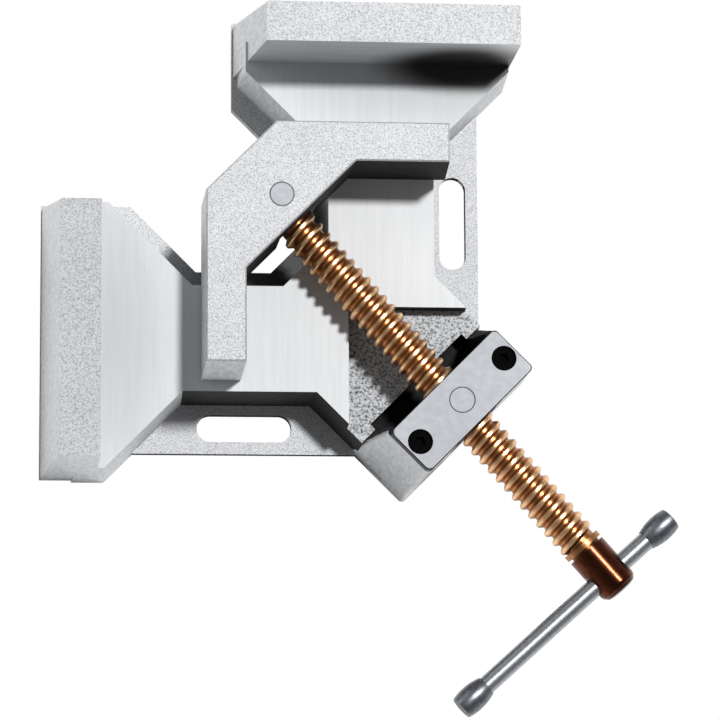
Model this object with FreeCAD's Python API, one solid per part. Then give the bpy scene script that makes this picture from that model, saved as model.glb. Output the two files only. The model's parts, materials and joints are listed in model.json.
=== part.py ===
import FreeCAD, Part
import math
import os

os.makedirs("parts", exist_ok=True)
V = FreeCAD.Vector

# All sizes are millimetres and degrees.
# Plan positions are given as (a, b) from the corner where the two fixed faces meet.
# There a runs along +X and b along -Y.
# The part's own origin is the nut's swivel axis at the bench plane, reach away from that corner both ways.

# Overrun of cuts: below the bench plane, and right through a piece
below = 5.0
through = 60.0

# Overall layout
reach = 140.0
swivel_at_rest = 3.3
floor_z = 33.0
jaw_height = 36.0
flange_t = 4.5
deck_drop = 8.0

# Fixed jaws
jaw_near = 63.8
jaw_len = 100.0
jaw_t = 15.9
jaw_out_draft = 6.6
jaw_near_draft = 9.6
near_set_back = 5.8
jaw_far_draft = 1.0
jaw_corner_r = 1.2
grinding = 2.0
edge_bevel = 0.7
plate_bevel = 0.35

# Base arms
near_line = jaw_near - 9.7
far_line = jaw_near + jaw_len + 2.4
arm_inner = reach - 49.1
pad_outer = reach - 6.9
centre_line = reach + 23.8
flange_out = 9.4
flange_step = 1.0
slot_flange = reach + 14.3
wall_draft = 1.8
core_wall = 7.0
rib_t = 6.0
rib_pitch = 30.0
rib_first = -25.0
rib_count = 8
rib_start = -50.0
rib_span = 300.0
corner_r = 2.0

# Deck, nose and well
deck_corner = reach - 41.3
nose_depth_floor = 19.4
nose_depth_top = 12.1
nose_front_drop = 0.6
nose_flare = 6.55
nose_root_in = 12.0
nose_root_half = 23.5
nose_line_in = 1.0
well_half = 16.6
window_half = 12.6
window_below = 3.0
well_floor_z = 20.0
trench_half = 26.0
trench_floor_z = 14.0

# Slots
slot_a = jaw_near - 4.6
slot_b = reach + 4.0
slot_len = 38.0
slot_w = 10.8

# Bridge plate and its screws
plate_l = 58.1
plate_w = 21.7
plate_t = 6.0
plate_top_z = 62.3
screw_gap = 46.6
counterbore_r = 4.9
counterbore_depth = 4.4
screw_head_r = 4.75
screw_head_t = 3.2
screw_r = 3.0
screw_len = 22.0
socket_w = 4.0
socket_floor = 0.9
running = 0.05

# Swivelling nut
nut_r = 14.0
nut_half = 9.9
trunnion_r = 5.1
trunnion_len = 8.0
nut_gap = 0.3
thread_gap = 0.25

# Spindle
axis_z = 45.5
pitch = 4.75
major_r = 8.2
root_r = 6.5
crest_half = 0.5
shoulder_half = 0.85
shoulder_drop = 0.3
base_half = 2.0
head_from = 75.8
head_to = 96.6
head_r = 8.1
head_round = 3.4
bar_at = 88.6
bore_bevel = 2.4
bore_bevel_in = 1.5
tip_at = reach - 34.2
thread_from_tip = 8.9
neck_r = 6.2
journal_r = 4.6
journal_end = 5.0
journal_play = 0.05

# Jaw pivot and its small parts
barrel_r = 8.0
barrel_gap = 0.5
stem_r = 4.75
barrel_low_z = 35.3
barrel_top_z = 58.0
keeper_r = 1.5
keeper_off = 5.0
keeper_play = 0.1
clip_t = 1.2
clip_slit = 5.0
clip_in = barrel_r - 2.4
clip_out = barrel_r + 1.0

# Pressure jaw
press_leg = 95.0
press_w = 15.6
press_outer_cut = 27.5
press_inner_cut = 42.7
press_corner = 29.3
press_gap = 0.6
press_height = 35.0
press_end_draft = 2.2
window_w = 20.4
window_over = 0.6

# Tommy bar
bar_r = 3.7
bar_play = 0.08
bar_long = 78.3
bar_short = 33.5
knob_len = 13.1
knob_r = 5.35
knob_end_r = 4.7
knob_neck_r = 4.1
knob_edge = 0.3
knob_widest = 0.6
knob_bore = 10.0

R2 = math.sqrt(2.0)
nose_back_floor = reach * R2 - nose_depth_floor
nose_back_top = reach * R2 - nose_depth_top
nose_half_floor = plate_l / 2 + nose_flare
jaw_top_z = floor_z + jaw_height
plate_low_z = plate_top_z - plate_t
deck_z = floor_z - deck_drop


def pos(a, b, z=0.0):
    """Plan position in the part's frame."""
    return V(a - reach, reach - b, z)


def diag(s, t):
    """Plan (a, b) of a point s along the diagonal and t to its left-arm side."""
    return ((s - t) / R2, (s + t) / R2)


def offset_points(points, d):
    """Outline moved outwards by d, with sharp corners kept."""
    n = len(points)
    following = points[1:] + points[:1]
    area = sum(p[0] * q[1] - q[0] * p[1] for p, q in zip(points, following))
    sign = 1.0 if area > 0 else -1.0
    moved = []
    for i in range(n):
        p0, p1, p2 = points[i - 1], points[i], points[(i + 1) % n]
        u = (p1[0] - p0[0], p1[1] - p0[1])
        w = (p2[0] - p1[0], p2[1] - p1[1])
        lu, lw = math.hypot(*u), math.hypot(*w)
        n1 = (sign * u[1] / lu, -sign * u[0] / lu)
        n2 = (sign * w[1] / lw, -sign * w[0] / lw)
        k = d / (1.0 + n1[0] * n2[0] + n1[1] * n2[1])
        moved.append((p1[0] + k * (n1[0] + n2[0]), p1[1] + k * (n1[1] + n2[1])))
    return moved


def outline(points, z, radius=0.0):
    """Closed wire through plan points at height z, with its corners rounded."""
    n = len(points)
    edges = []
    ends = []
    for i in range(n):
        p0 = pos(*points[i - 1], z)
        p1 = pos(*points[i], z)
        p2 = pos(*points[(i + 1) % n], z)
        if radius <= 0:
            ends.append((p1, p1, None))
            continue
        u = (p0 - p1).normalize()
        w = (p2 - p1).normalize()
        half = u.getAngle(w) / 2.0
        if half > 1.5:
            ends.append((p1, p1, None))
            continue
        cut = radius / math.tan(half)
        mid = p1 + (u + w).normalize() * (radius / math.sin(half) - radius)
        ends.append((p1 + u * cut, p1 + w * cut, mid))
    for i in range(n):
        start, stop, mid = ends[i]
        if mid is not None:
            edges.append(Part.Arc(start, mid, stop).toShape())
        nxt = ends[(i + 1) % n][0]
        edges.append(Part.LineSegment(stop, nxt).toShape())
    return Part.Wire(edges)


def taper(low, z0, high, z1, radius=0.0):
    """Solid between a low and a high outline."""
    return Part.makeLoft([outline(low, z0, radius), outline(high, z1, radius)], True, True)


def prism(points, z0, z1, radius=0.0):
    """Upright solid on a plan outline."""
    return taper(points, z0, points, z1, radius)


def mirrored(shape):
    """Copy on the other side of the clamp's diagonal."""
    return shape.mirror(V(0, 0, 0), V(1, 1, 0))


def cylinder(r, z0, z1, x=0.0, y=0.0):
    """Upright cylinder."""
    return Part.makeCylinder(r, z1 - z0, V(x, y, z0))


def along(shape, angle):
    """Copy turned about the swivel axis."""
    turned = shape.copy()
    turned.rotate(V(0, 0, 0), V(0, 0, 1), angle)
    return turned


spindle_angle = -45.0 - swivel_at_rest


def write(name, shape):
    """One file for each piece."""
    shape = shape.removeSplitter() if name != "spindle" else shape
    solids = shape.Solids
    print(name, "solids", len(solids), "valid", shape.isValid(), "volume", round(shape.Volume, 1))
    body = solids[0] if len(solids) == 1 else shape
    body.exportStep("parts/" + name + ".step")


# Casting: flange, arms and jaws of one half
def half_casting():
    """Left half of the casting, up to the diagonal."""
    near_out = near_line - R2 * flange_out
    centre_out = centre_line - R2 * flange_out
    inner_out = arm_inner - flange_out - flange_step
    nose = nose_half_floor * R2
    far_out = far_line + flange_step
    nose_in = reach - nose_line_in
    jaw_out = -jaw_t - jaw_out_draft
    foot_near = jaw_near - jaw_near_draft
    foot_far = jaw_near + jaw_len + jaw_far_draft
    flange = [(centre_out / 2, centre_out / 2), (centre_out - inner_out, inner_out),
              (inner_out - near_out, inner_out), (foot_near - near_out, foot_near), (jaw_out, foot_near),
              (jaw_out, foot_far), (far_out - foot_far, foot_far), (far_out - slot_flange, slot_flange),
              (slot_flange - nose, slot_flange), (nose_in - nose / 2, nose_in + nose / 2), (nose_in, nose_in)]
    near_floor = jaw_near - near_set_back
    jaw_far = jaw_near + jaw_len
    root = reach - nose_root_in
    top = [(centre_line / 2, centre_line / 2), (centre_line - arm_inner, arm_inner),
           (arm_inner - near_line, arm_inner), (near_floor - near_line, near_floor),
           (-jaw_t / 2, near_floor), (-jaw_t / 2, jaw_far), (far_line - jaw_far, jaw_far),
           (far_line - pad_outer, pad_outer), (pad_outer - 2 * nose_root_half, pad_outer),
           (root - nose_root_half, root + nose_root_half), (root, root)]
    body = taper(offset_points(top, wall_draft), 0.0, top, floor_z)
    foot = [(jaw_out, foot_near), (grinding, foot_near), (grinding, foot_far), (jaw_out, foot_far)]
    crown = [(-jaw_t, jaw_near), (grinding, jaw_near), (grinding, jaw_far), (-jaw_t, jaw_far)]
    jaw = taper(foot, 0.0, crown, jaw_top_z, jaw_corner_r)
    ground_off = 2 * jaw_len + jaw_near
    jaw = jaw.cut(Part.makeBox(3 * grinding, ground_off, 2 * jaw_top_z, pos(0, ground_off, -below)))
    half = prism(flange, 0.0, flange_t).fuse([body, jaw])
    core = prism(offset_points(top, -core_wall), -1.0, floor_z - core_wall)
    from_deck = deck_corner - core_wall
    low_roof = Part.makeBox(reach, reach, floor_z, pos(from_deck, from_deck + reach, deck_z - core_wall))
    core = core.cut(low_roof)
    ribs = []
    for i in range(rib_count):
        at = rib_first + i * rib_pitch
        ribs.append(Part.makeBox(rib_t, rib_span, through, pos(at, rib_span + rib_start, -below)))
        ribs.append(Part.makeBox(rib_span, rib_t, through, pos(rib_start, at + rib_t, -below)))
    return half, core.cut(ribs)


def nose_block():
    """Block that carries the bridge plate, widening towards the bench."""
    front = reach * R2 + plate_w / 2
    half_top = plate_l / 2
    low = [diag(nose_back_floor, -nose_half_floor), diag(nose_back_floor, nose_half_floor),
           diag(front + nose_front_drop, nose_half_floor), diag(front + nose_front_drop, -nose_half_floor)]
    high = [diag(nose_back_top, -half_top), diag(nose_back_top, half_top),
            diag(front, half_top), diag(front, -half_top)]
    return taper(low, 0.0, high, plate_low_z, corner_r)


def casting():
    """Cast body with its slots, deck, nut well and screw holes."""
    half, core = half_casting()
    body = half.fuse(mirrored(half))
    deck = Part.makeBox(reach, reach, 2 * floor_z, pos(deck_corner, deck_corner + reach, deck_z))
    body = body.cut(deck)
    body = body.fuse(nose_block())
    body = body.cut([core, mirrored(core)])
    run = slot_len - slot_w
    slot = Part.makeBox(run, slot_w, 4 * below, pos(slot_a - run / 2, slot_b + slot_w / 2, -below))
    for end in (-1, 1):
        centre = pos(slot_a + end * run / 2, slot_b)
        slot = slot.fuse(cylinder(slot_w / 2, -below, 3 * below, centre.x, centre.y))
    body = body.cut([slot, mirrored(slot)])
    back = nose_depth_floor
    tall = 2 * plate_top_z
    well = Part.makeBox(back, 2 * well_half, tall, V(-back, -well_half, well_floor_z))
    well = well.fuse(cylinder(well_half, well_floor_z, tall))
    behind_plate = back - plate_w / 2
    trench = Part.makeBox(behind_plate, 2 * trench_half, tall, V(-back, -trench_half, trench_floor_z))
    window_low = axis_z - major_r - window_below
    window = Part.makeBox(2 * plate_w, 2 * window_half, tall, V(0, -window_half, window_low))
    body = body.cut([along(well, -45.0), along(trench, -45.0), along(window, -45.0)])
    body = body.cut(cylinder(trunnion_r + running, well_floor_z - trunnion_len - nut_gap, well_floor_z + 1))
    for side in (-1, 1):
        p = along(Part.Vertex(0, side * screw_gap / 2, 0), -45.0).Point
        body = body.cut(cylinder(screw_r + running, plate_low_z - screw_len, plate_low_z + 1, p.x, p.y))
    return body


def bridge_plate():
    """Machined plate over the nut."""
    s = reach * R2
    pts = [diag(s - plate_w / 2, -plate_l / 2), diag(s - plate_w / 2, plate_l / 2),
           diag(s + plate_w / 2, plate_l / 2), diag(s + plate_w / 2, -plate_l / 2)]
    plate = prism(pts, plate_low_z, plate_top_z - plate_bevel, corner_r)
    cap = taper(pts, plate_top_z - plate_bevel, offset_points(pts, -plate_bevel), plate_top_z, corner_r)
    plate = plate.fuse(cap)
    plate = plate.cut(cylinder(trunnion_r + running, 0, 100))
    for side in (-1, 1):
        p = along(Part.Vertex(0, side * screw_gap / 2, 0), -45.0).Point
        plate = plate.cut(cylinder(screw_r + running, 0, 100, p.x, p.y))
        plate = plate.cut(cylinder(counterbore_r, plate_top_z - counterbore_depth, 100, p.x, p.y))
    return plate


def bridge_screw(side):
    """Low socket cap screw sunk in the plate."""
    low = plate_top_z - counterbore_depth
    head = cylinder(screw_head_r, low, low + screw_head_t - 0.4)
    head = head.fuse(Part.makeCone(screw_head_r, screw_head_r - 0.4, 0.4, V(0, 0, low + screw_head_t - 0.4)))
    shank = cylinder(screw_r, low - screw_len, low)
    corner = socket_w / 2 / math.cos(math.pi / 6)
    turns = [k * math.pi / 3 for k in range(6)]
    hexagon = [V(corner * math.cos(t), corner * math.sin(t), low + socket_floor) for t in turns]
    socket = Part.Face(Part.makePolygon(hexagon + [hexagon[0]])).extrude(V(0, 0, 10))
    screw = head.fuse(shank).cut(socket)
    p = along(Part.Vertex(0, side * screw_gap / 2, 0), -45.0).Point
    screw.translate(V(p.x, p.y, 0))
    return screw


def swivel_nut():
    """Barrel nut that turns about its two trunnions."""
    low = well_floor_z + nut_gap
    high = plate_low_z - nut_gap
    nut = cylinder(nut_r, low, high)
    nut = nut.common(Part.makeBox(2 * nut_half, 4 * nut_r, 100, V(-nut_half, -2 * nut_r, 0)))
    lower = cylinder(trunnion_r, low - trunnion_len, low)
    upper = cylinder(trunnion_r, high, plate_top_z - 0.5)
    nut = nut.fuse([lower, upper])
    nut = nut.fuse(Part.makeCone(trunnion_r, trunnion_r - 0.4, 0.4, V(0, 0, plate_top_z - 0.5)))
    bore = Part.makeCylinder(major_r + thread_gap, 4 * nut_r, V(-2 * nut_r, 0, axis_z), V(1, 0, 0))
    return along(nut.cut(bore), spindle_angle)


def lay(shape):
    """Shape built up +Z laid along the spindle, its start kept at the swivel axis."""
    laid = shape.copy()
    laid.rotate(V(0, 0, 0), V(0, 1, 0), 90.0)
    laid.translate(V(0, 0, axis_z))
    return along(laid, spindle_angle)


def spindle():
    """Screw with its journal, head and cross hole, built up +Z from the swivel axis."""
    start = -tip_at + thread_from_tip
    groove = keeper_r + keeper_play
    core = Part.makeCylinder(root_r, head_from - start, V(0, 0, start))
    length = head_from - start - 6.6
    z0 = start + base_half + 0.1
    helix = Part.makeHelix(pitch, length, root_r, 0)
    helix.translate(V(0, 0, z0))
    section = [V(root_r - 0.2, 0, z0 - base_half), V(major_r - shoulder_drop, 0, z0 - shoulder_half),
               V(major_r, 0, z0 - crest_half), V(major_r, 0, z0 + crest_half),
               V(major_r - shoulder_drop, 0, z0 + shoulder_half), V(root_r - 0.2, 0, z0 + base_half)]
    ridge = Part.Wire(helix).makePipeShell([Part.makePolygon(section + [section[0]])], True, True)
    shape = core.fuse(ridge)
    ring = Part.makeCylinder(major_r, 2.2, V(0, 0, head_from - 3.4))
    head = Part.makeCylinder(head_r, head_to - head_from - head_round, V(0, 0, head_from))
    crown = [V(0, 0, head_to - head_round), V(head_r, 0, head_to - head_round),
             V(head_r - 0.35, 0, head_to - 2.0), V(head_r - 1.6, 0, head_to - 0.55),
             V(head_r - 3.4, 0, head_to), V(0, 0, head_to)]
    cap = Part.Face(Part.makePolygon(crown + [crown[0]])).revolve(V(0, 0, 0), V(0, 0, 1), 360)
    bore_r = bar_r + bar_play
    hole = Part.makeCylinder(bore_r, through, V(0, -through / 2, bar_at), V(0, 1, 0))
    bevels = []
    for side in (-1, 1):
        start_at = V(0, side * (head_r - bore_bevel_in), bar_at)
        bevels.append(Part.makeCone(bore_r, bore_r + bore_bevel, bore_bevel, start_at, V(0, side, 0)))
    head = head.fuse(cap).cut([hole] + bevels)
    reach_in = barrel_r + barrel_gap
    neck = Part.makeCylinder(neck_r, thread_from_tip - reach_in, V(0, 0, -tip_at + reach_in))
    journal = Part.makeCylinder(journal_r, journal_end + reach_in, V(0, 0, -tip_at - journal_end))
    waist = Part.makeCylinder(journal_r + 1, 2 * groove, V(0, 0, -tip_at - groove))
    waist = waist.cut(Part.makeCylinder(keeper_off - groove, 2 * groove, V(0, 0, -tip_at - groove)))
    return lay(shape.fuse([ring, head, neck, journal.cut(waist)]))


def pivot_point():
    """Plan centre of the jaw pivot at rest."""
    angle = math.radians(spindle_angle)
    return V(-tip_at * math.cos(angle), -tip_at * math.sin(angle), 0)


def jaw_pivot():
    """Barrel that joins the spindle's tip to the pressure jaw, its stem showing on top."""
    pivot = cylinder(barrel_r, barrel_low_z, barrel_top_z)
    pivot = pivot.fuse(cylinder(stem_r, barrel_top_z, jaw_top_z - 0.7))
    pivot = pivot.fuse(Part.makeCone(stem_r, stem_r - 0.4, 0.4, V(0, 0, jaw_top_z - 0.7)))
    bore = Part.makeCylinder(journal_r + journal_play, through, V(-journal_end - 0.3, 0, axis_z), V(1, 0, 0))
    pivot = pivot.cut(bore)
    for side in (-1, 1):
        pivot = pivot.cut(cylinder(keeper_r + 0.01, 0, axis_z + 9.0, 0, side * keeper_off))
    pivot = along(pivot, spindle_angle)
    pivot.translate(pivot_point())
    return pivot


def keeper_pin(side):
    """Upright pin that keeps the spindle's tip in the barrel."""
    pin = cylinder(keeper_r, barrel_low_z + 0.2, axis_z + 8.8, 0, side * keeper_off)
    pin = along(pin, spindle_angle)
    pin.translate(pivot_point())
    return pin


def pivot_clip():
    """Split ring under the barrel, in the pressure jaw's groove."""
    low = barrel_low_z - clip_t - 0.15
    ring = cylinder(clip_out, low, low + clip_t).cut(cylinder(clip_in, low - 1, low + 3))
    ring = ring.cut(Part.makeBox(2 * clip_out, clip_slit, 9, V(0, -clip_slit / 2, low - 3)))
    ring = along(ring, 135.0)
    ring.translate(pivot_point())
    return ring


def pressure_jaw():
    """Right-angled jaw with its bevelled web, square to the fixed jaws."""
    p = pivot_point()
    a0 = p.x + reach - press_corner
    b0 = reach - p.y - press_corner
    low_z = floor_z + press_gap
    top_z = low_z + press_height
    def legs(end):
        far = press_leg + end
        cut_o = press_outer_cut
        cut_i = press_inner_cut
        pts = [(cut_o, 0.0), (far, 0.0), (far, press_w), (press_w + cut_i, press_w),
               (press_w, press_w + cut_i), (press_w, far), (0.0, far), (0.0, cut_o)]
        return [(a0 + u, b0 + v) for u, v in pts]
    high = legs(0.0)
    jaw = taper(legs(press_end_draft), low_z, high, top_z - edge_bevel)
    jaw = jaw.fuse(taper(high, top_z - edge_bevel, offset_points(high, -edge_bevel * 0.8), top_z))
    well = cylinder(barrel_r + running, low_z - 1, barrel_top_z + nut_gap, p.x, p.y)
    stem = cylinder(stem_r + running, low_z, top_z + 5, p.x, p.y)
    clip_low = barrel_low_z - clip_t - 0.25
    groove = cylinder(clip_out + 0.1, clip_low, clip_low + clip_t + 0.2, p.x, p.y)
    window_top = axis_z + major_r + window_over
    window = Part.makeBox(40, window_w, window_top - low_z + 2, V(0, -window_w / 2, low_z - 2))
    window = along(window, -45.0)
    window.translate(p)
    return jaw.cut([well, stem, groove, window])


def tommy_bar():
    """Plain sliding bar, built along the cross hole."""
    in_knob = knob_len - knob_bore
    start = V(0, -bar_long + in_knob, 0)
    bar = Part.makeCylinder(bar_r, bar_long + bar_short - 2 * in_knob, start, V(0, 1, 0))
    return place_bar(bar)


def place_bar(shape):
    """Bar parts moved to the cross hole at rest."""
    moved = shape.copy()
    moved.translate(V(bar_at, 0, axis_z))
    return along(moved, spindle_angle)


def bar_knob(side):
    """Barrel-shaped end knob."""
    neck = V(knob_neck_r, 0, 0)
    tip = V(knob_end_r, 0, knob_len - knob_edge)
    mid = V(knob_r, 0, knob_len * knob_widest)
    curve = Part.Arc(neck, mid, tip).toShape()
    edges = [Part.LineSegment(V(0, 0, 0), neck).toShape(), curve,
             Part.LineSegment(tip, V(knob_end_r - knob_edge, 0, knob_len)).toShape(),
             Part.LineSegment(V(knob_end_r - knob_edge, 0, knob_len), V(0, 0, knob_len)).toShape(),
             Part.LineSegment(V(0, 0, knob_len), V(0, 0, 0)).toShape()]
    knob = Part.Face(Part.Wire(edges)).revolve(V(0, 0, 0), V(0, 0, 1), 360)
    knob = knob.cut(Part.makeCylinder(bar_r + 0.01, knob_bore, V(0, 0, 0)))
    knob.rotate(V(0, 0, 0), V(1, 0, 0), -90.0 * side)
    length = bar_short if side > 0 else bar_long
    knob.translate(V(0, side * (length - knob_len), 0))
    return place_bar(knob)


write("body_casting", casting())
write("bridge_plate", bridge_plate())
write("bridge_screw_left", bridge_screw(-1))
write("bridge_screw_right", bridge_screw(1))
write("swivel_nut", swivel_nut())
write("spindle", spindle())
write("jaw_pivot", jaw_pivot())
write("keeper_pin_left", keeper_pin(-1))
write("keeper_pin_right", keeper_pin(1))
write("pivot_clip", pivot_clip())
write("pressure_jaw", pressure_jaw())
write("tommy_bar", tommy_bar())
write("bar_knob_left", bar_knob(-1))
write("bar_knob_right", bar_knob(1))
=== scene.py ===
"""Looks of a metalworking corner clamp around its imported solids.

The casting, pressure jaw, bridge plate, copper-plated spindle and tommy bar
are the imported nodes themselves. Some get softened edges, and each gets a finish
that is drawn in the part's own coordinates, so the finish moves with its piece.
"""
import json
import logging
import math
from dataclasses import dataclass, field
from enum import Enum

import bpy
from mathutils import Matrix, Vector


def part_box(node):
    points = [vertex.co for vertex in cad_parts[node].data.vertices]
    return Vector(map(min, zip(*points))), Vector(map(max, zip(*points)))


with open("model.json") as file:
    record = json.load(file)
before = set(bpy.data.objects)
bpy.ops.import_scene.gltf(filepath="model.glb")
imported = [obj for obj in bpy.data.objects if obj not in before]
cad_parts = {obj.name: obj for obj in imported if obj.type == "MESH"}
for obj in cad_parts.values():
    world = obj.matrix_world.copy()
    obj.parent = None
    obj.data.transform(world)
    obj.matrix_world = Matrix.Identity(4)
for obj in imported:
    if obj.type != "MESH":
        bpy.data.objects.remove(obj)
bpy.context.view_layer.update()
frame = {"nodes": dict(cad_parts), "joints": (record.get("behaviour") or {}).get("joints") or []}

logging.basicConfig(level=logging.INFO, format="%(message)s")
log = logging.getLogger("corner_clamp")

MM = 0.001
PICTURE = 720

# Noise lies mostly between these two values
NOISE_LOW = 0.3
NOISE_HIGH = 0.7

# Edge rounding: faces closer than the gap are joined first, and gentler edges are left alone
JOIN_GAP_MM = 0.002
ROUNDING_STEPS = 2
ROUNDED_FROM_DEG = 32.0


class Way(Enum):
    """How a face of the casting or jaw was made, or, for the arm walls and the nook, that it is
    coloured as painted shade.
    """

    GROUND = "ground"
    CAST_TOP = "cast_top"
    CAST_SIDE = "cast_side"
    ROUGH_DECK = "rough_deck"
    ARM_WALL_PAINTED_SHADE = "arm_wall"
    NOOK = "nook"
    JAW_FACE = "jaw_face"


def linear(code: str) -> tuple[float, float, float, float]:
    """Turns an sRGB hex colour into Blender's linear colour.

    Args:
        code: Six hex digits after a hash sign.

    Returns:
        Linear red, green, blue and an alpha of one.
    """
    parts = [int(code[i:i + 2], 16) / 255.0 for i in (1, 3, 5)]
    return tuple(c / 12.92 if c <= 0.04045 else ((c + 0.055) / 1.055) ** 2.4 for c in parts) + (1.0,)


def add_node(tree: bpy.types.NodeTree, kind: str, settings: dict | None = None,
             links: dict | None = None) -> bpy.types.Node:
    """Adds one shader node with its settings and incoming links.

    Args:
        tree: The node tree.
        kind: The node's type name.
        settings: Attribute names, or input names, with their values.
        links: Input names or numbers with the output sockets that feed them.

    Returns:
        The new node.
    """
    node = tree.nodes.new(kind)
    for key, value in (settings or {}).items():
        if isinstance(key, str) and hasattr(node, key):
            setattr(node, key, value)
        else:
            node.inputs[key].default_value = value
    for key, socket in (links or {}).items():
        tree.links.new(socket, node.inputs[key])
    return node


@dataclass(frozen=True)
class PaintedDarkening:
    """A soft dark place painted into a colour, mostly as painted shade: full at its middle and gone at
    its reach.
    """

    amount: float
    at_mm: tuple[float, float, float]
    reach_mm: tuple[float, float, float]
    full_to: float
    colour: str = "#08090B"

    def over(self, tree: bpy.types.NodeTree, place: bpy.types.NodeSocket,
             undarkened: bpy.types.NodeSocket) -> bpy.types.NodeSocket:
        """Darkens a colour around the place.

        Args:
            tree: The node tree.
            place: The socket with the part's own coordinates.
            undarkened: The socket with the colour before the darkening.

        Returns:
            The socket with the darkened colour.
        """
        offset = add_node(tree, "ShaderNodeVectorMath",
                          {"operation": "SUBTRACT", 1: [v * MM for v in self.at_mm]}, {0: place})
        scaled = add_node(tree, "ShaderNodeVectorMath",
                          {"operation": "DIVIDE", 1: [v * MM for v in self.reach_mm]},
                          {0: offset.outputs["Vector"]})
        far = add_node(tree, "ShaderNodeVectorMath", {"operation": "LENGTH"},
                       {0: scaled.outputs["Vector"]})
        amount = add_node(tree, "ShaderNodeMapRange",
                          {"interpolation_type": "SMOOTHSTEP", "From Min": self.full_to,
                           "From Max": 1.0, "To Min": self.amount, "To Max": 0.0},
                          {"Value": far.outputs["Value"]})
        mix = add_node(tree, "ShaderNodeMix", {"data_type": "RGBA", 7: linear(self.colour)},
                       {0: amount.outputs["Result"], 6: undarkened})
        return mix.outputs[2]


@dataclass(frozen=True)
class Finish:
    """A material of a light and a dark colour in a grain of noise, with the grain's relief.

    The grain is stretched where stretch is under one. Wide clouds shift it a little, and
    painted darkening, mostly painted shade, darkens places.
    """

    name: str
    light: str
    dark: str
    metallic: float
    roughness: float
    grain_mm: float
    relief_mm: float
    speck_from: float = NOISE_LOW
    speck_to: float = NOISE_HIGH
    stretch: tuple[float, float, float] = (1.0, 1.0, 1.0)
    cloud_mm: float = 30.0
    cloud: float = 0.06
    specular: float = 0.5
    painted_darkening: tuple[PaintedDarkening, ...] = ()
    grain_detail: float = 3.0
    grain_breakup: float = 0.6
    cloud_detail: float = 2.0

    def build(self) -> bpy.types.Material:
        """Makes the Blender material."""
        material = bpy.data.materials.new(self.name)
        material.use_nodes = True
        tree = material.node_tree
        tree.nodes.clear()
        coords = add_node(tree, "ShaderNodeTexCoord")
        mapping = add_node(tree, "ShaderNodeMapping", {"Scale": self.stretch},
                           {"Vector": coords.outputs["Object"]})
        grain = add_node(tree, "ShaderNodeTexNoise",
                         {"Scale": 1.0 / (self.grain_mm * MM), "Detail": self.grain_detail,
                          "Roughness": self.grain_breakup},
                         {"Vector": mapping.outputs["Vector"]})
        specks = add_node(tree, "ShaderNodeMapRange",
                          {"From Min": self.speck_from, "From Max": self.speck_to},
                          {"Value": grain.outputs["Fac"]})
        clouds = add_node(tree, "ShaderNodeTexNoise",
                          {"Scale": 1.0 / (self.cloud_mm * MM), "Detail": self.cloud_detail},
                          {"Vector": coords.outputs["Object"]})
        shade = add_node(tree, "ShaderNodeMapRange",
                         {"From Min": NOISE_LOW, "From Max": NOISE_HIGH,
                          "To Min": -self.cloud, "To Max": self.cloud},
                         {"Value": clouds.outputs["Fac"]})
        mixed = add_node(tree, "ShaderNodeMath", {"operation": "ADD", "use_clamp": True},
                         {0: specks.outputs["Result"], 1: shade.outputs["Result"]})
        colour = add_node(tree, "ShaderNodeMix",
                          {"data_type": "RGBA", 6: linear(self.dark), 7: linear(self.light)},
                          {0: mixed.outputs[0]})
        base = colour.outputs[2]
        for place in self.painted_darkening:
            base = place.over(tree, coords.outputs["Object"], base)
        bump = add_node(tree, "ShaderNodeBump",
                        {"Strength": 1.0, "Distance": self.relief_mm * MM},
                        {"Height": grain.outputs["Fac"]})
        shader = add_node(tree, "ShaderNodeBsdfPrincipled",
                          {"Metallic": self.metallic, "Roughness": self.roughness,
                           "Specular IOR Level": self.specular},
                          {"Base Color": base, "Normal": bump.outputs["Normal"]})
        add_node(tree, "ShaderNodeOutputMaterial", {}, {"Surface": shader.outputs["BSDF"]})
        return material


# Painted shade beside the open corner, on the casting's tops and walls there
GAP_PAINTED_SHADE = PaintedDarkening(amount=0.95, at_mm=(-62.0, 62.0, 10.0), reach_mm=(55.0, 55.0, 45.0), full_to=0.35)
# Painted shade on the top jaw's face, and a painted shadow and reflection of that face on the floor
# before it
BACK_JAW_PAINTED_SHADE = PaintedDarkening(amount=0.97, at_mm=(5.0, 140.0, 36.0), reach_mm=(42.0, 15.0, 36.0), full_to=0.4)
# A faint darkening of the left jaw's top
LEFT_TOP_DARKENING = PaintedDarkening(amount=0.17, at_mm=(-152.0, 30.0, 69.0), reach_mm=(40.0, 130.0, 20.0), full_to=0.7)
# Faint painted shade on the floor along the foot of the left jaw and of the top jaw
LEFT_FOOT_PAINTED_SHADE = PaintedDarkening(amount=0.3, at_mm=(-140.0, 30.0, 33.0), reach_mm=(42.0, 90.0, 30.0), full_to=0.1)
BACK_FOOT_PAINTED_SHADE = PaintedDarkening(amount=0.3, at_mm=(-20.0, 140.0, 33.0), reach_mm=(90.0, 42.0, 30.0), full_to=0.1)

# Galvanised cast iron, as sand-cast: pale zinc skin with dark specks that read as sand grain.
# The specks are coarser than real sand, so that they show. Painted shade darkens it by the open corner,
# and a faint darkening lies on the left jaw's top.
CAST_TOP = Finish("cast_iron_sand_top", "#BCBDBF", "#7C7E81", metallic=0.3, roughness=0.55,
                  grain_mm=0.55, relief_mm=0.1, speck_to=0.58, painted_darkening=(GAP_PAINTED_SHADE, LEFT_TOP_DARKENING))
# The same zinc skin on drafted walls: smoother, streaked by the pattern's draw, paler than on the tops
# as painted light, and with painted shade by the open corner
CAST_SIDE = Finish("cast_iron_drawn_side", "#C8CACC", "#ABAEB1", metallic=0.35, roughness=0.48,
                   grain_mm=1.6, relief_mm=0.05, speck_to=0.62, stretch=(1.0, 1.0, 0.3),
                   painted_darkening=(GAP_PAINTED_SHADE,))
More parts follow.
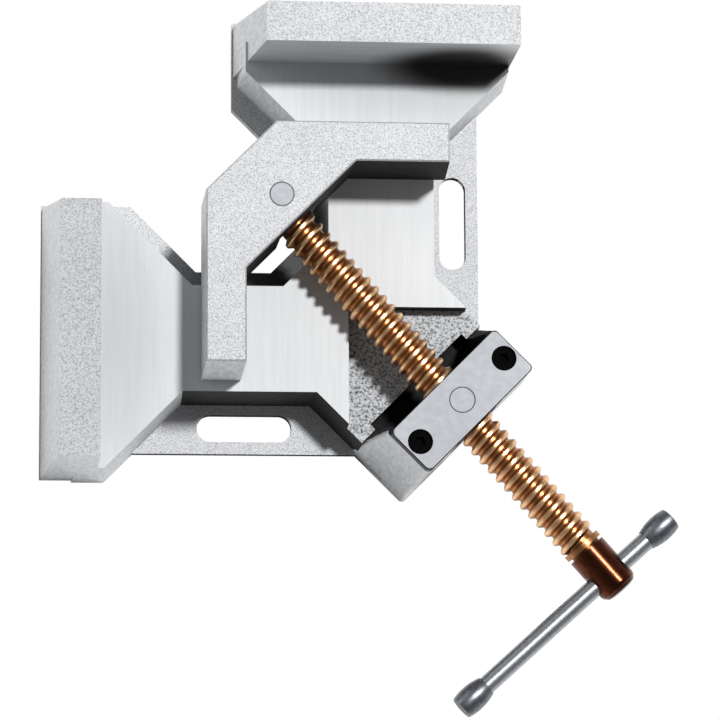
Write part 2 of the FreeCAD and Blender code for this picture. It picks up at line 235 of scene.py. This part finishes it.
# Cast iron walls under the ground pads, as they left the sand: dull, and coloured nearly black beside
# the ground face as painted shade; also the pressure jaw's walls towards the spindle
ARM_WALL_PAINTED_SHADE = Finish("cast_iron_wall_painted_shade", "#1E1F21", "#0C0D0E", metallic=0.1, roughness=0.7,
                  grain_mm=1.2, relief_mm=0.1, speck_to=0.6, specular=0.2)
# Cast iron behind the plate and in the nut's well, coloured nearly black as painted shade
NOOK = Finish("cast_iron_nook_painted_shade", "#1B1C1E", "#0A0A0B", metallic=0.1, roughness=0.7,
              grain_mm=1.0, relief_mm=0.2, speck_from=0.42, specular=0.2)
# Cast iron in the deck between the pads, left coarse: larger grain with deep dark pits
ROUGH_DECK = Finish("cast_iron_coarse_deck", "#BFC1C3", "#4B4D50", metallic=0.3, roughness=0.6,
                    grain_mm=0.95, relief_mm=0.4, speck_from=0.34, speck_to=0.56)
# Cast iron ground flat on a surface grinder: near-white, with long faint strokes, painted shade along
# the jaws' feet and a painted shadow and reflection before the top jaw
GROUND = Finish("ground_cast_iron", "#C9CACB", "#C0C2C4", metallic=0.12, roughness=0.55,
                grain_mm=1.6, relief_mm=0.002, stretch=(1.0, 0.05, 1.0), cloud_mm=70.0,
                cloud=0.3, painted_darkening=(BACK_JAW_PAINTED_SHADE, LEFT_FOOT_PAINTED_SHADE, BACK_FOOT_PAINTED_SHADE))
# The fixed jaws' ground inner faces: the same grinding, paler than the floor as painted light, and with
# painted shade on the top jaw's face
JAW_FACE = Finish("ground_jaw_face", "#D2D3D5", "#C2C4C6", metallic=0.3, roughness=0.45,
                  grain_mm=1.6, relief_mm=0.006, stretch=(0.05, 0.05, 1.0), painted_darkening=(BACK_JAW_PAINTED_SHADE,))
# Mild steel, milled: an even mid grey with faint mottling
MILLED = Finish("milled_mild_steel", "#8F9194", "#83858A", metallic=0.3, roughness=0.5,
                grain_mm=3.0, relief_mm=0.004, cloud_mm=45.0, cloud=0.3)
# The same steel at the plate's broken edges and sides, coloured dark as painted shade
PLATE_SIDE_PAINTED_SHADE = Finish("steel_edge_painted_shade", "#2A2B2E", "#1A1B1D", metallic=0.3, roughness=0.5,
                    grain_mm=1.5, relief_mm=0.01, specular=0.2)
# Steel with black oxide: deep matt black
BLACK_OXIDE = Finish("black_oxide_steel", "#060607", "#030304", metallic=0.0, roughness=0.85,
                     grain_mm=1.5, relief_mm=0.01, specular=0.05)
# Steel bar, drawn and zinc-plated: bright grey with fine mottling
ZINC_BAR = Finish("drawn_zinc_plated_steel", "#A5A8AC", "#8E9195", metallic=1.0, roughness=0.34,
                  grain_mm=1.2, relief_mm=0.004)
# The end knobs' plating, darker than the bar's
KNOB = Finish("darker_zinc_knob", "#7B7E83", "#5E6166", metallic=1.0, roughness=0.38,
              grain_mm=2.0, relief_mm=0.01)


@dataclass(frozen=True)
class CopperPlate:
    """Copper-plated steel, coloured by its distance from the spindle's axis.

    On the thread the crests are bright, and the flanks and roots darker.
    """

    name: str = "copper_plated_rolled_thread"
    crest: str = "#E6BC90"
    flank: str = "#BD8656"
    root: str = "#A9744A"
    roughness: float = 0.34
    root_mm: float = 6.5
    crest_mm: float = 8.2
    flank_at: float = 0.45
    grain_mm: float = 2.6
    grain_detail: float = 2.0
    grain_breakup: float = 0.5
    relief_mm: float = 0.08
    worn_dark: float = 0.75
    worn_bright: float = 1.1

    def build(self, origin: Vector, axis: Vector) -> bpy.types.Material:
        """Makes the material around the spindle's axis.

        Args:
            origin: A point on the spindle's axis, in metres.
            axis: The axis direction.

        Returns:
            The material.
        """
        material = bpy.data.materials.new(self.name)
        material.use_nodes = True
        tree = material.node_tree
        tree.nodes.clear()
        coords = add_node(tree, "ShaderNodeTexCoord")
        offset = add_node(tree, "ShaderNodeVectorMath", {"operation": "SUBTRACT", 1: origin},
                          {0: coords.outputs["Object"]})
        crossed = add_node(tree, "ShaderNodeVectorMath", {"operation": "CROSS_PRODUCT", 1: axis},
                           {0: offset.outputs["Vector"]})
        radius = add_node(tree, "ShaderNodeVectorMath", {"operation": "LENGTH"},
                          {0: crossed.outputs["Vector"]})
        depth = add_node(tree, "ShaderNodeMapRange",
                         {"From Min": self.root_mm * MM, "From Max": self.crest_mm * MM},
                         {"Value": radius.outputs["Value"]})
        grain = add_node(tree, "ShaderNodeTexNoise",
                         {"Scale": 1.0 / (self.grain_mm * MM), "Detail": self.grain_detail,
                          "Roughness": self.grain_breakup},
                         {"Vector": coords.outputs["Object"]})
        ramp = add_node(tree, "ShaderNodeValToRGB", {}, {"Fac": depth.outputs["Result"]})
        ramp.color_ramp.elements[0].color = linear(self.root)
        ramp.color_ramp.elements[1].color = linear(self.crest)
        ramp.color_ramp.elements.new(self.flank_at).color = linear(self.flank)
        wear = add_node(tree, "ShaderNodeMapRange",
                        {"From Min": NOISE_LOW, "From Max": NOISE_HIGH,
                         "To Min": self.worn_dark, "To Max": self.worn_bright},
                        {"Value": grain.outputs["Fac"]})
        colour = add_node(tree, "ShaderNodeMix",
                          {"data_type": "RGBA", "blend_type": "MULTIPLY", 0: 1.0},
                          {6: ramp.outputs["Color"], 7: wear.outputs["Result"]})
        bump = add_node(tree, "ShaderNodeBump",
                        {"Strength": 1.0, "Distance": self.relief_mm * MM},
                        {"Height": grain.outputs["Fac"]})
        shader = add_node(tree, "ShaderNodeBsdfPrincipled",
                          {"Metallic": 1.0, "Roughness": self.roughness},
                          {"Base Color": colour.outputs[2], "Normal": bump.outputs["Normal"]})
        add_node(tree, "ShaderNodeOutputMaterial", {}, {"Surface": shader.outputs["BSDF"]})
        return material


# The thread, the turned ring behind it, and the turned head that is browner and more polished, its
# colour made very dark as a painted reflection of dark surroundings
THREAD = CopperPlate()
RING = CopperPlate(name="copper_plated_turned_ring", crest="#A8744A", flank="#80522F",
                   root="#57351F")
HEAD = CopperPlate(name="copper_plated_turned_head", crest="#5A3020", flank="#482618",
                   root="#331A10", roughness=0.2, relief_mm=0.02)


def soften(piece: bpy.types.Object, width_mm: float) -> None:
    """Rounds a node's edges with modifiers only.

    Args:
        piece: The node's object.
        width_mm: The rounding's width.
    """
    weld = piece.modifiers.new("join_faces", "WELD")
    weld.merge_threshold = JOIN_GAP_MM * MM
    bevel = piece.modifiers.new("edge_rounding", "BEVEL")
    bevel.width = width_mm * MM
    bevel.segments = ROUNDING_STEPS
    bevel.limit_method = "ANGLE"
    bevel.angle_limit = math.radians(ROUNDED_FROM_DEG)
    bevel.use_clamp_overlap = True
    bevel.harden_normals = False
    normals = piece.modifiers.new("even_shading", "WEIGHTED_NORMAL")
    normals.keep_sharp = False


def paint(piece: bpy.types.Object, materials: list[bpy.types.Material]) -> None:
    """Replaces a node's materials, all faces taking the first one.

    Args:
        piece: The node's object.
        materials: The new materials in their slots' order.
    """
    piece.data.materials.clear()
    for material in materials:
        piece.data.materials.append(material)
    for face in piece.data.polygons:
        face.material_index = 0


@dataclass
class Casting:
    """The cast body with its ground floor and jaw faces.

    Along runs down the body's diagonal, away from the corner where the fixed faces
    meet, and across runs square to it. Both start at the nut's axis.
    """

    floor_mm: float = 33.0
    deck_mm: float = 25.0
    face_mm: float = 140.0
    arm_from_mm: float = -130.0
    nose_from_mm: float = -10.0
    nook_from_mm: float = -20.5
    nook_half_mm: float = 34.5
    trench_half_mm: float = 27.0
    nose_walls_from_mm: float = -62.0
    edge_mm: float = 0.8
    level_within_mm: float = 0.5
    clear_of_deck_mm: float = 1.0
    flat_from: float = 0.95
    facing_from: float = 0.99
    square_from: float = 0.9
    nose_side_from: float = 0.6
    nook_turn: float = 0.5
    arm_wall_lean: float = 0.085
    materials: dict[Way, bpy.types.Material] = field(default_factory=dict)

    def in_nook(self, along: float, across: float, z: float, normal: Vector) -> bool:
        """Tells whether a face lies in the place behind the plate that is coloured as painted shade.

        Args:
            along: The face's place along the diagonal, in millimetres.
            across: Its place across the diagonal, in millimetres.
            z: Its height, in millimetres.
            normal: The face's normal.

        Returns:
            True for a face there that isn't on the nose's outer side or the open deck.
        """
        behind_plate = self.nook_from_mm < along < self.nose_from_mm
        inside = behind_plate and abs(across) < self.nook_half_mm
        beside = abs(across) > self.trench_half_mm
        nose_side = beside and abs(normal.x + normal.y) > self.nose_side_from
        towards_corner = normal.x < normal.y - self.nook_turn
        off_deck = abs(z - self.deck_mm) > self.clear_of_deck_mm
        return inside and not nose_side and (towards_corner or off_deck)

    def on_jaw_face(self, centre: Vector, normal: Vector) -> bool:
        """Tells whether a face is part of a fixed jaw's ground inner face.

        Args:
            centre: The face's centre, in metres.
            normal: The face's normal.

        Returns:
            True for a face in one of the two planes, above the floor.
        """
        left = (normal.x > self.facing_from
                and abs(centre.x / MM + self.face_mm) < self.level_within_mm)
        back = (normal.y < -self.facing_from
                and abs(centre.y / MM - self.face_mm) < self.level_within_mm)
        return (left or back) and centre.z / MM > self.floor_mm

    def on_arm_wall(self, centre: Vector, normal: Vector, along: float) -> bool:
        """Tells whether a face is one of the steep walls under the pads that are coloured as painted
        shade.

        Args:
            centre: The face's centre, in metres.
            normal: The face's normal.
            along: The face's place along the diagonal, in millimetres.

        Returns:
            True for a steep face of an arm, below the floor.
        """
        past_jaws = min(centre.x / MM, -centre.y / MM) > self.arm_from_mm
        on_arm = past_jaws and along < self.nose_from_mm
        square = normal.y < -self.square_from or normal.x > self.square_from
        steep = normal.z < self.arm_wall_lean and (square or along > self.nose_walls_from_mm)
        return on_arm and steep and centre.z / MM < self.floor_mm

    def way(self, centre: Vector, normal: Vector) -> Way:
        """Tells how the face at a place was made.

        Args:
            centre: The face's centre, in metres.
            normal: The face's normal.

        Returns:
            The way it was made.
        """
        z = centre.z / MM
        along = (centre.x - centre.y) / math.sqrt(2.0) / MM
        across = (centre.x + centre.y) / math.sqrt(2.0) / MM
        if self.in_nook(along, across, z, normal):
            return Way.NOOK
        if normal.z > self.flat_from:
            if abs(z - self.floor_mm) < self.level_within_mm:
                return Way.GROUND
            if abs(z - self.deck_mm) < self.level_within_mm:
                return Way.ROUGH_DECK
            return Way.CAST_TOP
        if self.on_jaw_face(centre, normal):
            return Way.JAW_FACE
        return Way.ARM_WALL_PAINTED_SHADE if self.on_arm_wall(centre, normal, along) else Way.CAST_SIDE

    def dress(self, piece: bpy.types.Object) -> None:
        """Gives each face of the casting its own finish.

        Args:
            piece: The casting's object.
        """
        order = list(self.materials)
        paint(piece, [self.materials[w] for w in order])
        for face in piece.data.polygons:
            face.material_index = order.index(self.way(face.center, face.normal))
        soften(piece, self.edge_mm)
        log.info("casting: %d faces in %d finishes", len(piece.data.polygons), len(order))


@dataclass
class PressureJaw:
    """The swivelling right-angled jaw, cast like the body, with painted shade on its walls towards the
    spindle.
    """

    edge_mm: float = 0.7
    top_from: float = 0.5
    facing_from: float = 0.9

    def dress(self, piece: bpy.types.Object, top: bpy.types.Material, side: bpy.types.Material,
              inner: bpy.types.Material) -> None:
        """Finishes the top, the outer walls with the arms' ends, and the inner walls.

        Args:
            piece: The jaw's object.
            top: Sand grain for the top and its bevelled edges.
            side: Drawn skin for the outer walls and the arms' ends.
            inner: A dull, nearly black skin of painted shade for the walls towards the spindle.
        """
        low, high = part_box(piece.name)
        middle_x = (low[0] + high[0]) / 2
        middle_y = (low[1] + high[1]) / 2
        paint(piece, [side, top, inner])
        for face in piece.data.polygons:
            right_end = face.normal.x > self.facing_from and face.center.x > middle_x
            left_end = face.normal.y < -self.facing_from and face.center.y < middle_y
            towards_spindle = face.normal.x - face.normal.y > self.facing_from
            if face.normal.z > self.top_from:
                face.material_index = 1
            elif towards_spindle and not (right_end or left_end):
                face.material_index = 2
        soften(piece, self.edge_mm)
        log.info("pressure jaw: %d faces", len(piece.data.polygons))


@dataclass
class Bridge:
    """The milled plate over the nut, with its two screws."""

    edge_mm: float = 0.15
    top_from: float = 0.9

    def dress(self, nodes: dict, milled: bpy.types.Material, black: bpy.types.Material) -> None:
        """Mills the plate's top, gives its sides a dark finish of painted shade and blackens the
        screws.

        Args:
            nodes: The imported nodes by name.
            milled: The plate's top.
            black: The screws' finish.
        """
        plate = nodes["bridge_plate"]
        paint(plate, [milled, PLATE_SIDE_PAINTED_SHADE.build()])
        for face in plate.data.polygons:
            face.material_index = 1 if face.normal.z < self.top_from else 0
        soften(plate, self.edge_mm)
        log.info("bridge_plate: milled steel with sides in painted shade")
        for name in ("bridge_screw_left", "bridge_screw_right"):
            paint(nodes[name], [black])
            log.info("%s: black oxide", name)


class NutAndPivot:
    """The swivelling nut, and the pivot at the spindle's tip with its pins and clip."""

    def dress(self, nodes: dict, milled: bpy.types.Material, black: bpy.types.Material) -> None:
        """Gives the turned pieces a milled finish and the clip black oxide.

        Args:
            nodes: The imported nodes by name.
            milled: The finish of the nut, pivot and pins.
            black: The clip's finish.
        """
        for name in ("swivel_nut", "jaw_pivot", "keeper_pin_left", "keeper_pin_right"):
            paint(nodes[name], [milled])
            log.info("%s: milled steel", name)
        paint(nodes["pivot_clip"], [black])
        log.info("pivot_clip: black oxide")


@dataclass
class Spindle:
    """The copper-plated screw with its ring and its dark, polished head."""

    ring_from_mm: float = 71.9
    head_from_mm: float = 75.6

    def dress(self, piece: bpy.types.Object, spin: dict) -> None:
        """Finishes the thread, the ring and the head, in order from the nut outwards.

        Args:
            piece: The spindle's object.
            spin: The joint that the spindle turns on, for its axis.
        """
        origin = Vector(spin["pos_m"])
        axis = Vector(spin["axis"]).normalized()
        paint(piece, [plating.build(origin, axis) for plating in (THREAD, RING, HEAD)])
        for face in piece.data.polygons:
            place = (face.center - origin).dot(axis) / MM
            face.material_index = (place > self.ring_from_mm) + (place > self.head_from_mm)
        log.info("spindle: %d faces", len(piece.data.polygons))


class TommyBar:
    """The sliding bar with a knob at each end."""

    def dress(self, nodes: dict) -> None:
        """Plates the bar bright and the knobs darker.

        Args:
            nodes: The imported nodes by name.
        """
        bright = ZINC_BAR.build()
        knob_plating = KNOB.build()
        for name, finish in (("tommy_bar", bright), ("bar_knob_left", knob_plating),
                             ("bar_knob_right", knob_plating)):
            paint(nodes[name], [finish])
            log.info("%s: zinc-plated steel", name)


@dataclass
class Studio:
    """Camera, lamps and floor."""

    eye_mm: tuple[float, float, float] = (-180.56, -207.61, 1464.8)
    turn: tuple[float, float, float] = (-0.157548, 0.098812, -0.009928)
    focal_px: float = 3687.98
    sensor_mm: float = 36.0
    sight_m: float = 20.0
    key_from: tuple[float, float, float] = (0.32, 0.34, 1.25)
    key_strength: float = 3.1
    key_spread_deg: float = 6.0
    fill_from: tuple[float, float, float] = (-1.0, 0.6, 0.7)
    fill_strength: float = 0.5
    fill_spread_deg: float = 40.0
    zenith: float = 0.18
    zenith_from: float = 0.8
    horizon: float = 0.6
    floor_half_m: float = 6.0
    floor_drop_mm: float = 0.3
    floor_roughness: float = 0.9
    floor_specular: float = 0.1
    white: str = "#FFFFFF"

    def camera(self) -> None:
        """Places the camera at the photograph's viewing angle."""
        data = bpy.data.cameras.new("view")
        camera = bpy.data.objects.new("view", data)
        bpy.context.scene.collection.objects.link(camera)
        rx, ry, rz = self.turn
        look = Matrix.Rotation(rz, 3, "Z") @ Matrix.Rotation(ry, 3, "Y") @ Matrix.Rotation(rx, 3, "X")
        place = Matrix.Translation(Vector(self.eye_mm) * MM)
        camera.matrix_world = place @ look.transposed().to_4x4()
        data.sensor_width = self.sensor_mm
        data.lens = self.focal_px / PICTURE * data.sensor_width
        data.clip_end = self.sight_m
        bpy.context.scene.camera = camera

    def floor(self) -> None:
        """Lays a floor that takes light as matt white, and that the camera sees as plain white."""
        mesh = bpy.data.meshes.new("floor")
        r = self.floor_half_m
        mesh.from_pydata([(-r, -r, 0), (r, -r, 0), (r, r, 0), (-r, r, 0)], [], [(0, 1, 2, 3)])
        floor = bpy.data.objects.new("floor", mesh)
        floor.location.z = -self.floor_drop_mm * MM
        bpy.context.scene.collection.objects.link(floor)
        material = bpy.data.materials.new("floor")
        material.use_nodes = True
        tree = material.node_tree
        shader = tree.nodes["Principled BSDF"]
        shader.inputs["Base Color"].default_value = linear(self.white)
        shader.inputs["Roughness"].default_value = self.floor_roughness
        shader.inputs["Specular IOR Level"].default_value = self.floor_specular
        path = add_node(tree, "ShaderNodeLightPath")
        glow = add_node(tree, "ShaderNodeEmission", {"Color": linear(self.white), "Strength": 1.0})
        mixed = add_node(tree, "ShaderNodeMixShader", {},
                         {0: path.outputs["Is Camera Ray"], 1: shader.outputs["BSDF"],
                          2: glow.outputs["Emission"]})
        tree.links.new(mixed.outputs[0], tree.nodes["Material Output"].inputs["Surface"])
        mesh.materials.append(material)

    def lamp(self, name: str, place: tuple[float, float, float], strength: float,
             spread_deg: float) -> None:
        """Adds one distant lamp.

        Args:
            name: The lamp's name.
            place: The direction that its light comes from.
            strength: Its strength.
            spread_deg: Its angle in the sky, which softens its shadows.
        """
        sun = bpy.data.lights.new(name, "SUN")
        sun.energy = strength
        sun.angle = math.radians(spread_deg)
        lamp = bpy.data.objects.new(name, sun)
        lamp.rotation_euler = Vector(place).to_track_quat("Z", "Y").to_euler()
        bpy.context.scene.collection.objects.link(lamp)

    def world(self) -> None:
        """Makes a white sky that is brighter at the horizon than overhead."""
        world = bpy.data.worlds.new("studio")
        bpy.context.scene.world = world
        world.use_nodes = True
        tree = world.node_tree
        coords = add_node(tree, "ShaderNodeTexCoord")
        height = add_node(tree, "ShaderNodeSeparateXYZ", {}, {"Vector": coords.outputs["Generated"]})
        strength = add_node(tree, "ShaderNodeMapRange",
                            {"From Min": 0.0, "From Max": self.zenith_from,
                             "To Min": self.horizon, "To Max": self.zenith},
                            {"Value": height.outputs["Z"]})
        sky = tree.nodes["Background"]
        tree.links.new(strength.outputs["Result"], sky.inputs["Strength"])
        sky.inputs["Color"].default_value = linear(self.white)

    def build(self) -> None:
        """Sets up the camera, the floor, a key from the upper right, a fill from the left and a sky."""
        self.camera()
        self.floor()
        self.lamp("key", self.key_from, self.key_strength, self.key_spread_deg)
        self.lamp("fill", self.fill_from, self.fill_strength, self.fill_spread_deg)
        self.world()
        bpy.context.scene.view_settings.view_transform = "Standard"
        log.info("studio: camera, floor and lamps")


def main() -> None:
    """Dresses every piece and builds the studio."""
    nodes = frame["nodes"]
    joints = {j["name"]: j for j in frame["joints"]}
    made = {Way.CAST_SIDE: CAST_SIDE.build(), Way.CAST_TOP: CAST_TOP.build(),
            Way.GROUND: GROUND.build(), Way.ROUGH_DECK: ROUGH_DECK.build(),
            Way.ARM_WALL_PAINTED_SHADE: ARM_WALL_PAINTED_SHADE.build(), Way.JAW_FACE: JAW_FACE.build(), Way.NOOK: NOOK.build()}
    Casting(materials=made).dress(nodes["body_casting"])
    PressureJaw().dress(nodes["pressure_jaw"], made[Way.CAST_TOP], made[Way.CAST_SIDE],
                        made[Way.ARM_WALL_PAINTED_SHADE])
    milled = MILLED.build()
    black = BLACK_OXIDE.build()
    Bridge().dress(nodes, milled, black)
    NutAndPivot().dress(nodes, milled, black)
    Spindle().dress(nodes["spindle"], joints["spindle_spin"])
    TommyBar().dress(nodes)
    Studio().build()


if __name__ == "__main__":
    main()
